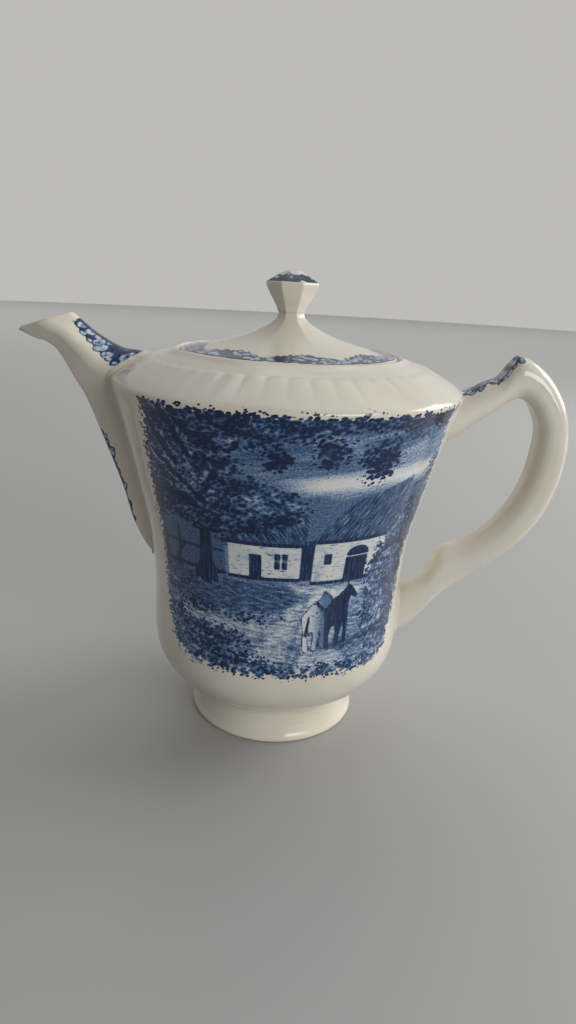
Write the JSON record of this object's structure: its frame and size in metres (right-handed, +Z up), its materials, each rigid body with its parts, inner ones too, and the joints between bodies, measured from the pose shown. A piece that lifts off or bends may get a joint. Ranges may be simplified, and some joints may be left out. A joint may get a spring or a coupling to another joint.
{
  "type": "teapot",
  "caption": "Waisted ceramic teapot with a conical shoulder, foot ring, beak spout, loop handle with a thumb rest, and a lift-off lid with a faceted knob, blue printed country scene.",
  "frame": {"origin": "on the table plane under the middle of the whole teapot's footprint, 4.45 mm from the pot's own vertical axis towards the handle", "axes": "+Z up, +X towards the handle, -X towards the spout"},
  "size_m": [0.2362, 0.148, 0.1998],
  "materials": {
    "printed_glaze": "gloss, blue transfer print under clear glaze on ivory",
    "foot_glaze": "gloss, cream",
    "spout_glaze": "gloss, ivory",
    "handle_glaze": "gloss, ivory",
    "lid_glaze": "gloss, ivory",
    "knob_glaze": "gloss, ivory"
  },
  "bodies": {
    "pot": {"body": "printed_glaze", "foot_ring": "foot_glaze", "spout": "spout_glaze", "handle": "handle_glaze"},
    "lid": {"lid": "lid_glaze", "knob": "knob_glaze"}
  },
  "joints": [
    {"name": "lid_lift", "type": "slide", "parent": "pot", "child": "lid", "axis": [0, 0, 1], "range_m": [0, 0.07]}
  ]
}
